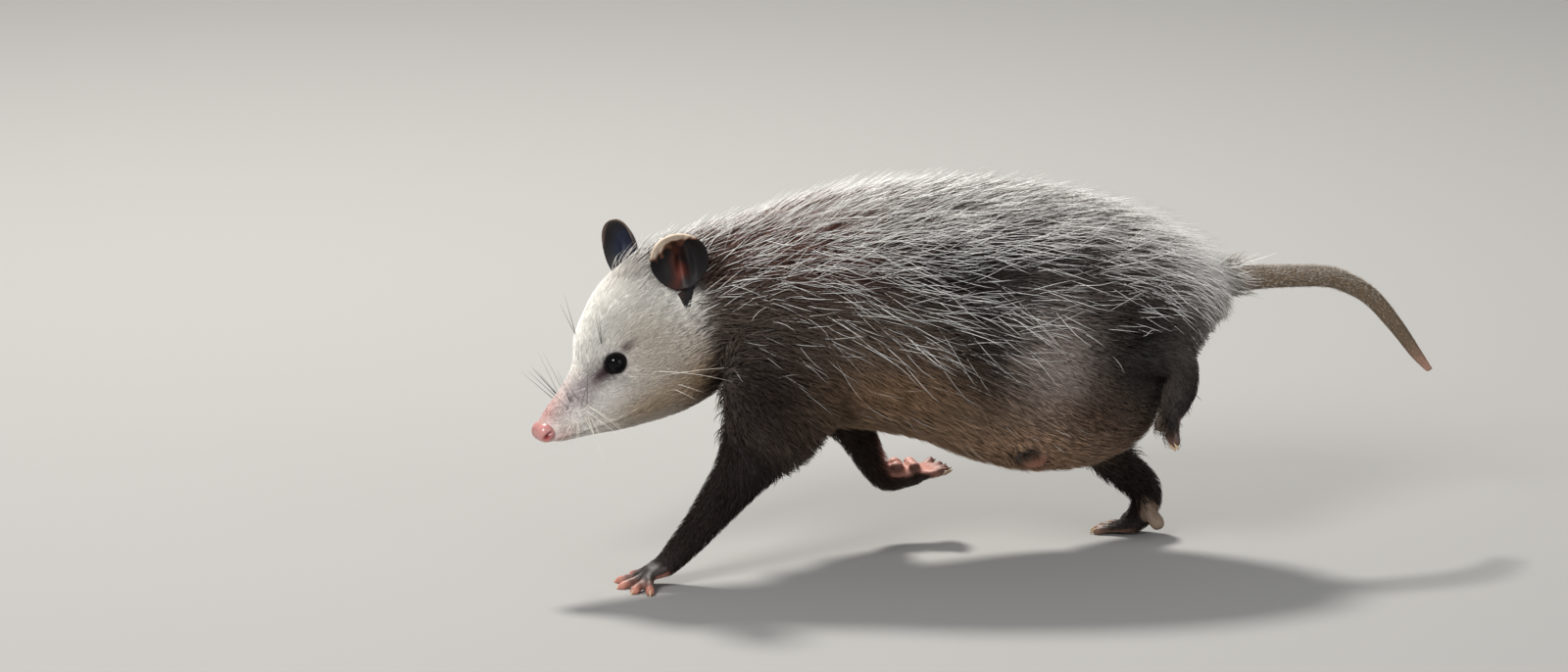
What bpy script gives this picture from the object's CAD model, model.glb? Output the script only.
"""The looks of the walking opossum: its skin, coat, face, feet and tail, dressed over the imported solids.

Sizes are in millimetres in the animal's own frame: it walks toward -X, its left side is -Y and the floor
is at zero. The skin is one body. The coat is tufts of solid hair that grow from it, bend and lie along it.
"""

import math

import bmesh
import bpy
import numpy as np
from mathutils import Matrix, Vector
from mathutils.bvhtree import BVHTree
from mathutils.kdtree import KDTree


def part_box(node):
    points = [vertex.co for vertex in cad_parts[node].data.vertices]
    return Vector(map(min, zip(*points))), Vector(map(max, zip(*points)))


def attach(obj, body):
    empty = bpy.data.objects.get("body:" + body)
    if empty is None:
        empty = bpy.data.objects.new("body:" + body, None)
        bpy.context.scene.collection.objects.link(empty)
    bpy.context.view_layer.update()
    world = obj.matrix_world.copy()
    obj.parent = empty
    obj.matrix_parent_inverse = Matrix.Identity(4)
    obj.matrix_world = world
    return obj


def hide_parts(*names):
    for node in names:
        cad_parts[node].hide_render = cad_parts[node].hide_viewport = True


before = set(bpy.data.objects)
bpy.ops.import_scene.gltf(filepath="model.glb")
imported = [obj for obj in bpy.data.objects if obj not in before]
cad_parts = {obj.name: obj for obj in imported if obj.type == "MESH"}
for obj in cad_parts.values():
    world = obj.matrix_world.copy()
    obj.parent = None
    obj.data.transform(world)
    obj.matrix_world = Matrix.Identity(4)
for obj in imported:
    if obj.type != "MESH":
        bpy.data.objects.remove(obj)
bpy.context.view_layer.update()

MM = 0.001
# Every random draw comes from this one seeded source.
DRAW = np.random.default_rng(1867)

# The head's own frame: origin at the nose tip, +X to the nape, +Y to the animal's right, +Z to the crown.
NOSE_TIP = Vector((-203, -44, 89.5))
HEAD_YAW, HEAD_PITCH = math.radians(23), math.radians(-33)
HEAD = Matrix.Translation(NOSE_TIP) @ Matrix.Rotation(HEAD_YAW, 4, "Z") @ Matrix.Rotation(HEAD_PITCH, 4, "Y")
HEAD_TURN = HEAD.to_3x3()

# Each ring of the head: distance behind the nose tip, top, bottom, half width and depth of the fur.
HEAD_RINGS = {
    "nose tip": (2.5, -3.5, -9.5, 2.6, 0.0),
    "nose pad": (5, 0.0, -12.4, 5.0, 0.2),
    "upper lip": (9, 1.8, -15.0, 6.8, 0.3),
    "muzzle": (20, 5.0, -21.0, 9.6, 0.5),
    "whiskers": (33, 8.5, -28.5, 13.0, 0.8),
    "below the eyes": (45, 13.5, -35.0, 17.5, 1.0),
    "brow": (56, 24.5, -40.0, 22.0, 1.2),
    "forehead": (68, 32.5, -45.5, 27.0, 1.6),
    "crown": (84, 39.5, -52.0, 31.5, 2.5),
    "ears": (100, 40.5, -55.0, 34.0, 4.0),
    "nape": (116, 37.0, -54.0, 37.0, 6.0),
}
# Each ring of the trunk: place along X, top, bottom and half width, out to the tips of the guard hair.
TRUNK_RINGS = {
    "shoulders": (-64, 206, 86, 49),
    "withers": (-40, 212, 78, 55),
    "chest": (-10, 216.5, 74, 60),
    "ribs": (20, 219, 67.5, 65),
    "waist": (48, 218.5, 56, 69),
    "pouch front": (75, 216, 49, 72),
    "pouch": (100, 211.5, 48, 73),
    "pouch rear": (122, 205, 53, 70),
    "hips": (140, 198.5, 63, 65),
    "groin": (155, 191, 84, 58),
    "rump": (170, 182, 102, 49),
    "seat": (183, 171, 114, 36),
    "tail root": (191, 158, 124, 20),
}
# How deep the fur is over the skin.
COAT_AT_BACK, COAT_AT_SIDES, COAT_AT_BELLY = 13, 10, 5
FUR_AT_HAUNCH, FUR_ON_LEG = 4, 1.0
# The hair of the seat hangs, so the skin under it is this much higher round this place.
SEAT_HANG, SEAT_PLACE, SEAT_REACH = 12, 183, 12
# How far up its height the trunk is widest.
TRUNK_WIDEST = 0.47

# Legs: each station is a point and the half widths fore-and-aft and across.
LEGS = {
    "left foreleg": {
        "shoulder": ((-57, -33, 128), 32, 15),
        "upper arm": ((-64, -41, 104), 34, 17),
        "elbow": ((-72, -45, 84), 27, 17),
        "below the elbow": ((-83, -47, 68), 17.5, 14.5),
        "forearm": ((-93, -47.5, 54), 13, 12),
        "lower forearm": ((-108, -47.5, 34.5), 9.6, 10),
        "wrist": ((-121, -47.5, 19.5), 8, 9.5),
        "hand": ((-130, -48.5, 11), 6.5, 11),
        "knuckles": ((-139, -50, 8), 4.8, 11.5),
    },
    "right foreleg": {
        "shoulder": ((-50, 34, 124), 26, 14),
        "upper arm": ((-34, 41, 98), 22, 17),
        "elbow": ((-18, 44, 78), 16, 14),
        "forearm": ((-8, 45, 63), 10.5, 11.5),
        "lower forearm": ((1, 45, 46), 8, 9.5),
        "wrist": ((9, 45, 36.5), 7.5, 9),
        "hand root": ((18, 46, 36.5), 7, 10),
        "hand": ((28, 46.5, 38), 6, 10.5),
    },
    "left hindleg": {
        "knee": ((106, -40, 116), 22, 14),
        "calf": ((128, -48, 122), 15, 13),
        "shank": ((146, -51, 123), 12.5, 11.5),
        "hock": ((159, -51.5, 118.5), 11, 10.5),
        "instep": ((161, -52, 108), 9.5, 10),
        "foot": ((157.5, -53, 97.5), 9, 10.5),
        "ball": ((154.5, -54, 87), 5, 10.5),
    },
    "right hindleg": {
        "knee": ((108, 42, 78), 22, 16),
        "calf": ((128, 43, 54), 13, 13.5),
        "shank": ((143, 42, 39), 10.6, 11.5),
        "hock": ((155.5, 41, 27), 9.5, 10),
        "ankle": ((156.5, 40.5, 16.5), 8, 9),
        "sole": ((151, 41, 8), 7, 10),
        "ball": ((145, 44, 5.5), 5.5, 11),
    },
}
SHOULDER = {
    "top": ((-42, 26, 158), 26, 18),
    "middle": ((-54, 34, 132), 32, 19),
    "bottom": ((-62, 38, 108), 30, 16),
}
LEFT_THIGH = {
    "hip": ((150, -28, 144), 26, 20),
    "thigh": ((130, -39, 130), 31, 22),
    "knee": ((106, -44, 114), 25, 19),
}
RIGHT_THIGH = {
    "hip": ((150, 28, 140), 26, 20),
    "thigh": ((130, 37, 112), 31, 22),
    "knee": ((110, 41, 84), 25, 19),
}
TAIL = {
    "root": ((176, 0, 152), 8.6, 8.6),
    "base": ((193, 1, 154.4), 7.8, 7.8),
    "first": ((222, 4, 154.6), 6.5, 6.5),
    "second": ((252, 10, 152.7), 6.0, 6.0),
    "third": ((267, 13, 147.6), 5.7, 5.7),
    "fourth": ((281, 15, 138.5), 5.3, 5.3),
    "fifth": ((295.5, 16, 121.5), 4.5, 4.5),
    "sixth": ((307, 16, 105.5), 3.5, 3.5),
    "tip": ((315, 15, 95.5), 2.0, 2.0),
}

# Each foot: which way it points, its outer side, its sole's side, how far its digits dip, and its digits.
# A digit is its angle from forward, place across, length, half width and curl.
FEET = {
    "left foreleg": (
        Vector((-1, 0, 0)),
        Vector((0, -1, 0)),
        Vector((0, 0, -1)),
        0.30,
        (
            (-60, -8.5, 15, 2.9, 0.8),
            (-22, -5.0, 19, 3.0, 1.2),
            (14, 0.0, 19, 3.0, 1.2),
            (50, 5.5, 18, 3.0, 0.8),
            (84, 8.5, 17, 2.9, 0.4),
        ),
    ),
    "right foreleg": (
        Vector((0.99, 0.08, 0.0)),
        Vector((0.08, -0.99, 0)),
        Vector((0, 0, 1)),
        0.0,
        (
            (-30, -7.5, 13, 3.0, 3.5),
            (-12, -4.0, 16, 3.0, 1.8),
            (0, 0.0, 17, 3.0, 1.2),
            (12, 4.0, 16, 3.0, 1.6),
            (28, 7.5, 13, 3.0, 3.0),
        ),
    ),
    "left hindleg": (
        Vector((-0.05, -0.02, -1)),
        Vector((0.1, -0.99, 0)),
        Vector((0.99, 0.1, -0.12)),
        0.0,
        (
            (-4, -6.4, 13, 2.6, 1.0),
            (0, -2.1, 15, 2.7, 1.0),
            (4, 2.2, 15, 2.7, 1.0),
            (9, 6.4, 13, 2.5, 1.0),
        ),
    ),
    "right hindleg": (
        Vector((-0.87, 0.5, 0)),
        Vector((0.5, 0.87, 0)),
        Vector((0, 0, -1)),
        0.12,
        (
            (-16, -6.5, 15, 2.7, 1.0),
            (-5, -2.2, 17, 2.8, 1.0),
            (7, 2.4, 17, 2.8, 1.0),
            (20, 6.8, 15, 2.6, 1.0),
        ),
    ),
}
# The clawless thumb of each hind foot: its root, the way it points and its length.
THUMBS = {
    "left hindleg": (Vector((155, -47, 92)), Vector((-0.30, 0.45, -0.84)), 16),
    "right hindleg": (Vector((154, 36, 21)), Vector((0.50, -0.46, -0.78)), 20),
}
# The cushions of the lifted palm: place ahead of the last knuckles, place across and radius.
LIFTED = "right foreleg"
PALM_PADS = ((-13, -6, 3.8), (-14, 4.5, 4.0), (-4, -7.0, 3.3), (-4.5, -0.5, 3.5), (-4, 6.0, 3.3))
# How wide a digit is at shares of its length: knuckles, waists between them and the tip's pad.
DIGIT_SWELLS = (
    (-0.45, 1.0),
    (0, 1.0),
    (0.2, 0.98),
    (0.38, 0.8),
    (0.52, 0.82),
    (0.68, 0.92),
    (0.86, 0.95),
    (0.97, 0.7),
    (1.03, 0.3),
)
# Half widths at shares of the length, of a thumb and of a claw.
THUMB_WIDTHS = ((-0.35, 3.2), (0.0, 3.8), (0.4, 4.2), (0.72, 4.9), (0.93, 4.0), (1.0, 1.8))
CLAW_WIDTHS = ((0, 1.05), (0.3, 0.95), (0.6, 0.75), (0.85, 0.45), (1.0, 0.15))
CLAW_LENGTH, CLAW_CURL = 4.4, 1.6

EYE_RADIUS = 6.4
EYE_PLACE = (57.5, 16.3, 6.8)
EYE_FACING = Vector((-0.37, 0.88, 0.29)).normalized()
EYE_OPENING = 54
# Folds of the face, in the head's frame: how far each stands out, its centre and its reach.
FACE_FOLDS = {
    "whisker pad": (1.1, (27, 11, -8), (9, 6, 6)),
    "brow": (1.3, (60, 15, 17), (10, 7, 5)),
    "cheekbone": (0.8, (56, 20, -4), (12, 6, 5)),
    "front corner of the eye": (-1.2, (46, 15, 3), (7, 4, 4)),
    "rear corner of the eye": (-0.8, (69, 24, 12), (6, 5, 4)),
}
# Folds along the mouth: how far each stands out, its height over the line of the mouth and its width.
MOUTH_FOLDS = {"line": (-1.5, 0.0, 0.8), "upper lip": (0.7, 2.0, 1.6), "lower lip": (0.4, -2.0, 1.5)}
# The two parts of a nostril: depth, centre and reach.
NOSTRIL = ((1.0, (3.4, 6.6, -6.6), (1.9, 2.8, 1.6)), (0.8, (5.6, 7.2, -5.2), (2.0, 2.2, 0.8)))
# The mouth of the pouch: its place on the belly, the way it faces and its radius.
POUCH_MOUTH = (Vector((78, -38.5, 63.5)), Vector((-0.15, -0.90, -0.40)).normalized(), 7.0)

# Each ear, in the head's frame folded to one side: its side, foot, middle of the cup, degrees turned
# outward, half width, half height, taper toward the foot and how full its outline is.
EARS = {
    "left": (-1, Vector((106, 27, 12)), Vector((114.5, 33, 36.5)), 62, 15.8, 17.0, 0.15, 2.1),
    "right": (1, Vector((101.5, 26, 14)), Vector((110.7, 32.7, 32.8)), -10, 16.0, 17.5, 0.42, 2.5),
}
EAR_DEPTH, EAR_WALL, EAR_RINGS = 9.0, 1.1, 20
# Folds inside an ear: how far each stands up, place toward the rear, lean, place upward, width and height.
EAR_FOLDS = {
    "ridge": (3.2, 0.30, 0.10, -0.15, 0.15, 0.55),
    "channel": (-1.8, 0.04, 0, -0.20, 0.13, 0.60),
    "pleat": (1.1, -0.20, 0, -0.25, 0.09, 0.35),
}
# The stalk under an ear's cup: how far up its stem, half width and half thickness.
EAR_STALK = ((-8, 4.2, 6.0), (0, 5.2, 5.2), (6, 7.0, 4.0), (13, 8.6, 2.4))

# Whiskers: along, up, the way back, out and up in the head's frame, length, droop, number, and whether dark.
WHISKERS = (
    (27, 0, (-0.05, 0.25, 0.97), 26, 0, 3, True),
    (24, 1, (-0.20, 0.30, 0.90), 22, 0, 2, True),
    (30, -2, (0.25, 0.60, 0.75), 30, 1, 2, True),
    (21, -6, (-0.97, 0.35, -0.35), 14, 1, 2, False),
    (24, -8, (-0.78, 0.35, -0.60), 14, 1, 2, False),
    (28, -10, (-0.23, 0.35, -0.91), 23, 2, 3, False),
    (31, -6, (0.30, 0.60, -0.60), 28, 3, 3, False),
    (58, 18, (0.25, 0.22, 1.10), 24, 0, 2, True),
    (70, -10, (0.75, 0.40, -0.50), 54, 6, 2, False),
    (77, -25, (0.50, 0.45, -0.75), 20, 1, 2, False),
)

# The skin is melted at this fineness, and nothing of it reaches lower than it stands.
SKIN_VOXEL = 1.25
STAND = 0.5
# A hair's thickness as a share of its width, and the most hairs in one piece.
HAIR_FLATNESS = 0.55
HAIRS_IN_PIECE = 8400
# Where each part lies on the flat bake map: from and to along the part, and from and to around it.
BAKE_BANDS = {
    "head": (0.02, 0.24, 0.02, 0.60),
    "trunk": (0.26, 0.98, 0.02, 0.60),
    "left foreleg": (0.02, 0.24, 0.64, 0.80),
    "right foreleg": (0.26, 0.48, 0.64, 0.80),
    "left hindleg": (0.50, 0.72, 0.64, 0.80),
    "right hindleg": (0.74, 0.96, 0.64, 0.80),
    "tail": (0.02, 0.98, 0.84, 0.96),
}
TAIL_LENGTH, TAIL_SCALE = 176, 1.9

# Colours of this animal, as sRGB hex.
CREAM = "ece9e3"
WARM_JAW = "ab8b69"
EYE_SMUDGE = "4a3034"
EYE_RIM = "1d1517"
EYE_BLACK = "050405"
LID_BLACK = "110c0d"
MUZZLE_PINK = "c49791"
NOSE_PINK = "c68a85"
NOSE_GROOVE = "c26f6c"
NOSTRIL_RED = "8e2220"
RUSTY = "6f4a40"
GRIZZLE = "5d534c"
CHARCOAL = "1e1a18"
BUFF = "8b6e54"
POUCH = "aa8a70"
POUCH_LIP = "8c5a49"
POUCH_HOLLOW = "1c1210"
THIGH_GREY = "a99c95"
SOOT = "1b1614"
DARK_BROWN = "2a201c"
GUARD_WHITE = "faf8f4"
TAIL_TAN = "776551"
TAIL_PINK = "c79a86"
TAIL_BRISTLE = "cfc5b8"
EAR_BLACK = "141112"
EAR_CREAM = "f2dcc6"
EAR_TAN = "7c523e"
EAR_RUST = "6e3226"
EAR_FOLD = "33170f"
EAR_CREASE = "4c241b"
FAR_EAR_BLUE = "1a2033"
FAR_EAR_RIM = "6d5b50"
PALM_FINGERS = "6f483b"
THUMB_TAN = "8b7664"
CLAW_HORN = "c4a987"
DARK_WHISKER = "2b2422"
PALE_WHISKER = "e6dfd2"
FLOOR_GREY = "999896"
# Each leg: the colours of its fur, its sole and tips and its toes' tops, and how far back its sole is bare.
LEG_LOOKS = {
    "left foreleg": (DARK_BROWN, "b87a69", "463632", 8),
    "right foreleg": ("35271f", "cf9485", "7f5648", 22),
    "left hindleg": ("15100f", "5f463d", "271c17", 0),
    "right hindleg": ("2c211c", "80604f", "3c2c26", 6),
}
# Markings of the trunk, the same on both sides: centre, reach, colour and strength. Later ones lie on top.
TRUNK_MARKINGS = {
    "rusty back": ((-45, 30, 190), (66, 52, 32), RUSTY, 1.0),
    "grizzled shoulder": ((-70, 50, 148), (32, 30, 30), "5b5049", 0.8),
    "frosted back": ((70, 0, 216), (84, 48, 14), "6d625c", 0.5),
    "dark saddle": ((32, 56, 176), (46, 32, 25), CHARCOAL, 1.0),
    "dark loin": ((84, 54, 174), (34, 30, 24), CHARCOAL, 1.0),
    "dark flank": ((60, 68, 134), (24, 26, 34), CHARCOAL, 1.0),
    "grizzled ribs": ((-12, 62, 142), (36, 26, 22), "6a5d52", 0.7),
    "buff flank": ((0, 56, 102), (50, 34, 24), BUFF, 1.0),
    "buff belly": ((10, 0, 70), (80, 50, 22), "a4866a", 0.95),
    "dark wedge": ((54, 62, 120), (15, 28, 28), SOOT, 1.0),
    "pale thigh": ((90, 66, 124), (22, 30, 42), THIGH_GREY, 1.0),
    "pouch": ((85, 30, 70), (50, 46, 30), POUCH, 1.0),
    "dark behind the pouch": ((112, 56, 92), (22, 26, 18), "5f4a3d", 0.8),
    "frosted rump": ((178, 20, 162), (24, 40, 34), "9a938e", 0.85),
    "pale seat": ((189, -2, 146), (15, 30, 30), "cbc3ba", 0.95),
    "dark chest": ((-72, 0, 96), (26, 44, 26), "40322b", 0.9),
}
# Markings that go with a leg, on the side where its stride has put it.
LEG_MARKINGS = {
    "left thigh": ((140, -56, 124), (26, 34, 34), SOOT, 1.0),
    "right thigh": ((128, 56, 100), (26, 34, 38), SOOT, 1.0),
    "left elbow": ((-70, -50, 104), (30, 24, 28), DARK_BROWN, 1.0),
    "right elbow": ((-36, 50, 104), (28, 24, 28), DARK_BROWN, 1.0),
}
# Markings of the head, in its own frame, the same on both sides.
HEAD_MARKINGS = {
    "warm jaw": ((98, 27, -34), (34, 26, 26), WARM_JAW, 1.0),
    "warm cheek": ((62, 20, -27), (30, 18, 13), "b39d83", 0.9),
    "shaded cheek": ((78, 28, 6), (20, 14, 24), "c3b8a8", 0.75),
    "pink bridge": ((9, 0, 3), (22, 10, 10), MUZZLE_PINK, 0.95),
    "pink lips": ((10, 7, -14), (9, 6, 6), MUZZLE_PINK, 0.8),
    "dusk on the muzzle": ((34, 10, 2), (16, 10, 9), "a3979b", 0.7),
    "dusk before the eye": ((48.5, 15.5, 5.0), (8, 8, 4.6), EYE_SMUDGE, 1.0),
    "dusk round the eye": ((57, 19, 7), (8, 11, 6.8), EYE_SMUDGE, 0.9),
    "dusk behind the eye": ((66, 22, 12), (6, 7, 2.8), "5e4c4c", 0.85),
    "crown": ((104, 0, 42), (12, 30, 10), "9a918a", 0.7),
}
# Places where the coat grows otherwise, each a centre and a reach: on both sides, on one, and by the ears.
COAT_BOTH_SIDES = {
    "thigh": ((88, 66, 124), (24, 30, 42)),
    "pouch": ((85, 40, 72), (50, 44, 26)),
    "shoulder": ((-74, 46, 136), (34, 30, 30)),
    "saddle": ((34, 56, 172), (42, 32, 20)),
    "loin": ((88, 54, 170), (28, 30, 20)),
}
COAT_ONE_SIDE = {
    "pouch mouth": ((72, -38.5, 68.5), (16, 18, 15)),
    "left hock": ((152, -56, 116), (38, 34, 38)),
    "right knee": ((118, 44, 72), (40, 34, 44)),
    "left elbow": ((-74, -50, 102), (36, 32, 44)),
    "right elbow": ((-36, 50, 100), (32, 32, 40)),
}
COAT_BY_EAR = {"before": ((96, 28, 20), (20, 18, 20)), "round": ((106, 28, 28), (22, 17, 22))}


def shift_to_frame():
    """From the animal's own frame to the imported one, by the place of its left eye."""
    low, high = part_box("eye_left")
    along, across, up = EYE_PLACE
    return (low + high) / 2 - HEAD @ Vector((along, -across, up)) * MM


SHIFT = shift_to_frame()
TO_FRAME = Matrix.Translation(SHIFT) @ Matrix.Scale(MM, 4)


def linear(hex_colour):
    """An sRGB hex colour as linear red, green and blue."""
    channels = [int(hex_colour[i : i + 2], 16) / 255 for i in (0, 2, 4)]
    return np.array([c / 12.92 if c <= 0.04045 else ((c + 0.055) / 1.055) ** 2.4 for c in channels])


def add_node(tree, kind, inputs):
    """A shader node with its settings and what is plugged into it, each by its name or place."""
    node = tree.nodes.new("ShaderNode" + kind)
    for key, value in inputs.items():
        if isinstance(value, bpy.types.NodeSocket):
            tree.links.new(value, node.inputs[key])
        elif key in node.inputs:
            node.inputs[key].default_value = value
        else:
            setattr(node, key, value)
    return node


def new_material(name, roughness, hex_colour=None, **settings):
    made = bpy.data.materials.new(name)
    made.use_nodes = True
    shader = made.node_tree.nodes["Principled BSDF"]
    shader.inputs["Roughness"].default_value = roughness
    if hex_colour:
        shader.inputs["Base Color"].default_value = (*linear(hex_colour), 1)
    for key, value in settings.items():
        shader.inputs[key.replace("_", " ").title().replace("Ior", "IOR")].default_value = value
    return made, made.node_tree, shader


def linked(name, data):
    obj = bpy.data.objects.new(name, data)
    bpy.context.scene.collection.objects.link(obj)
    return obj


def ring_between(rings, place):
    """A ring on the smooth curve through the stated ones. A ring is a list: centre, side, up, down."""
    i = min(int(place), len(rings) - 2)
    t = place - i
    around = (rings[max(i - 1, 0)], rings[i], rings[i + 1], rings[min(i + 2, len(rings) - 1)])
    return [
        0.5 * ((2 * q) + (r - p) * t + (2 * p - 5 * q + 4 * r - s) * t**2 + (3 * q - p - 3 * r + s) * t**3)
        for p, q, r, s in zip(*around)
    ]


def even_ring(centre, side, up):
    """A ring that is as thick above its centre as below it."""
    return [centre, side, up, -up]


def edges_at(verts):
    return list({edge for vert in verts for edge in vert.link_edges})


def loft(rings, sides, between, squareness=2.0):
    """A closed skin over rings of (centre, side, up, down), as a bmesh in the animal's frame."""
    bm = bmesh.new()
    steps = (len(rings) - 1) * (between + 1)
    loops = []
    for k in range(steps + 1):
        centre, side, up, down = ring_between(rings, k * (len(rings) - 1) / steps)
        circle = bmesh.ops.create_circle(bm, segments=sides, radius=1)["verts"]
        for vert in circle:
            across, rise = vert.co.x, vert.co.y
            swell = (abs(across) ** squareness + abs(rise) ** squareness) ** (-1 / squareness)
            vert.co = centre + swell * (across * side + rise * (up if rise > 0 else -down))
        loops.append(edges_at(circle))
    for loop, following in zip(loops, loops[1:]):
        bmesh.ops.bridge_loops(bm, edges=loop + following)
    for end in (loops[0], loops[-1]):
        bmesh.ops.holes_fill(bm, edges=end, sides=0)
    bmesh.ops.recalc_face_normals(bm, faces=bm.faces)
    return bm


def head_ring(along, top, bottom, half, fur):
    top, bottom, half = top - fur, bottom + fur, half - fur
    centre = HEAD @ Vector((along, 0, (top + bottom) / 2))
    return even_ring(centre, HEAD_TURN @ Vector((0, half, 0)), HEAD_TURN @ Vector((0, 0, (top - bottom) / 2)))


def trunk_ring(x, top, bottom, half):
    hang = SEAT_HANG * math.exp(-(((x - SEAT_PLACE) / SEAT_REACH) ** 2))
    top, bottom, half = top - COAT_AT_BACK, bottom + COAT_AT_BELLY + hang, half - COAT_AT_SIDES
    middle = bottom + TRUNK_WIDEST * (top - bottom)
    up, down = Vector((0, 0, top - middle)), Vector((0, 0, bottom - middle))
    return [Vector((x, 0, middle)), Vector((0, half, 0)), up, down]


def limb_rings(stations, fur=0.0):
    """Rings across a limb's line. Each station's first half width is in the plane of the stride."""
    points = [Vector(s[0]) for s in stations.values()]
    rings = []
    for i, (_, fore, side) in enumerate(stations.values()):
        along = (points[min(i + 1, len(points) - 1)] - points[max(i - 1, 0)]).normalized()
        lateral = (Vector((0, 1, 0)) - along * along.y).normalized()
        front = along.cross(lateral).normalized() * (fore - fur)
        rings.append(even_ring(points[i], lateral * (side - fur), front))
    return rings


def mirrored(stations):
    return {name: ((x, -y, z), fore, across) for name, ((x, y, z), fore, across) in stations.items()}


def palm_of(leg):
    """The last station of a leg, in its palm: the place and the half thickness there."""
    place, thick, _ = list(LEGS[leg].values())[-1]
    return Vector(place), thick


def digit_frames(leg):
    """Each digit of a foot: its root, the ways it points, curls and widens, its length, width and curl."""
    forward, outer, down, dip, digits = FEET[leg]
    for degrees, across, length, half, curl in digits:
        angle = math.radians(degrees)
        root = palm_of(leg)[0] + outer * across + down
        way = (forward * math.cos(angle) + outer * math.sin(angle) + down * dip).normalized()
        sole = (down - way * down.dot(way)).normalized()
        yield root, way, sole, way.cross(sole).normalized(), length, half, curl


def palm_cushions():
    """The centre and the radius of each cushion of the lifted palm."""
    palm, thick = palm_of(LIFTED)
    forward, outer, down, _, _ = FEET[LIFTED]
    for ahead, across, size in PALM_PADS:
        yield palm + down * thick + forward * ahead + outer * across, size


def digit(root, way, sole, side, length, half, curl):
    """One toe: knuckles, a pad at its tip and a curl toward its sole."""
    rings = []
    for share, swell in DIGIT_SWELLS:
        centre = root + way * length * share + sole * curl * max(share, 0) ** 2
        rings.append(even_ring(centre, side * half * swell, -sole * half * swell))
    return loft(rings, 12, 1)


def pad(centre, sole, size):
    """A round cushion under a foot."""
    bm = bmesh.new()
    turn = sole.to_track_quat("Z", "Y").to_matrix().to_4x4()
    place = Matrix.Translation(centre) @ turn @ Matrix.Diagonal((size, size, size * 0.75, 1))
    bmesh.ops.create_uvsphere(bm, u_segments=16, v_segments=10, radius=1, matrix=place)
    return bm


def foot_parts(leg):
    """The digits of a foot, with the pads at their tips and roots."""
    parts = []
    for root, way, sole, side, length, half, curl in digit_frames(leg):
        tip = root + way * length * 0.84 + sole * (curl * 0.7 + half * 0.25)
        parts.append(digit(root, way, sole, side, length, half, curl))
        parts.append(pad(tip, sole, half * 0.92))
        parts.append(pad(root - way * 2.5 + sole * (half * 0.4), sole, half * 1.05))
    return parts


def thumb(root, way, length):
    """The clawless thumb of a hind foot, broad at its tip."""
    way = way.normalized()
    down = Vector((0, 0, -1))
    down = (down - way * down.dot(way)).normalized()
    side = way.cross(down).normalized()
    rings = [even_ring(root + way * length * s, side * half, -down * half * 0.85) for s, half in THUMB_WIDTHS]
    return loft(rings, 16, 2)


def skin_parts():
    """Every closed form that melts into the one skin."""
    spine = [head_ring(*r) for r in HEAD_RINGS.values()] + [trunk_ring(*r) for r in TRUNK_RINGS.values()]
    parts = [loft(spine, 56, 4, squareness=2.2)]
    for stations in (SHOULDER, mirrored(SHOULDER), LEFT_THIGH, RIGHT_THIGH):
        parts.append(loft(limb_rings(stations, FUR_AT_HAUNCH), 28, 4))
    for stations in LEGS.values():
        parts.append(loft(limb_rings(stations, FUR_ON_LEG), 28, 4))
    parts.append(loft(limb_rings(TAIL), 24, 6))
    for leg in LEGS:
        parts += foot_parts(leg)
    parts += [pad(centre, FEET[LIFTED][2], size) for centre, size in palm_cushions()]
    return parts + [thumb(*numbers) for numbers in THUMBS.values()]


def object_from(bm, name):
    """An object from a bmesh in the animal's frame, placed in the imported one."""
    mesh = bpy.data.meshes.new(name)
    bm.to_mesh(mesh)
    bm.free()
    mesh.transform(TO_FRAME)
    return linked(name, mesh)


def joined(parts, name):
    whole = bmesh.new()
    for part in parts:
        mesh = bpy.data.meshes.new("part")
        part.to_mesh(mesh)
        part.free()
        whole.from_mesh(mesh)
        bpy.data.meshes.remove(mesh)
    return object_from(whole, name)


def apply_modifiers(obj):
    graph = bpy.context.evaluated_depsgraph_get()
    graph.update()
    mesh = bpy.data.meshes.new_from_object(obj.evaluated_get(graph))
    obj.modifiers.clear()
    obj.data = mesh
    return obj


def melted(obj, voxel, smoothing):
    """Melts overlapping forms into one smooth body."""
    remesh = obj.modifiers.new("melt", "REMESH")
    remesh.mode = "VOXEL"
    remesh.voxel_size = voxel * MM
    smooth = obj.modifiers.new("smooth", "SMOOTH")
    smooth.factor = 0.5
    smooth.iterations = smoothing
    return apply_modifiers(obj)


def vertex_array(mesh, what="co"):
    values = np.empty(len(mesh.vertices) * 3, np.float32)
    mesh.vertices.foreach_get(what, values)
    return values.reshape(-1, 3).astype(float)


def read_numbers(items, what, each=1):
    """Whole numbers that a mesh keeps with its edges, faces or corners."""
    values = np.empty(len(items) * each, np.int32)
    items.foreach_get(what, values)
    return values.reshape(-1, each)


def place_vertices(mesh, points):
    """Puts a mesh's vertices at points of the animal's frame."""
    mesh.vertices.foreach_set("co", (points * MM + np.array(SHIFT)).ravel().astype(np.float32))


def paint_attribute(mesh, name, colours):
    attribute = mesh.attributes.new(name, "FLOAT_COLOR", "POINT")
    padded = np.concatenate([colours, np.ones((len(colours), 1))], axis=1)
    attribute.data.foreach_set("color", padded.ravel().astype(np.float32))


def own_frame(points):
    """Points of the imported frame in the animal's own, in millimetres."""
    return (points - np.array(SHIFT)) / MM


def moved(points, matrix):
    matrix = np.array(matrix)
    return points @ matrix[:3, :3].T + matrix[:3, 3]


def head_frame(points):
    """Points of the animal's frame in the head's own."""
    return moved(points, HEAD.inverted())


def folded(points):
    """Points with the animal's left side folded over its right one."""
    return np.stack([points[:, 0], np.abs(points[:, 1]), points[:, 2]], axis=1)


def unit(vectors):
    return vectors / np.maximum(np.linalg.norm(vectors, axis=-1, keepdims=True), 1e-9)


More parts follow.
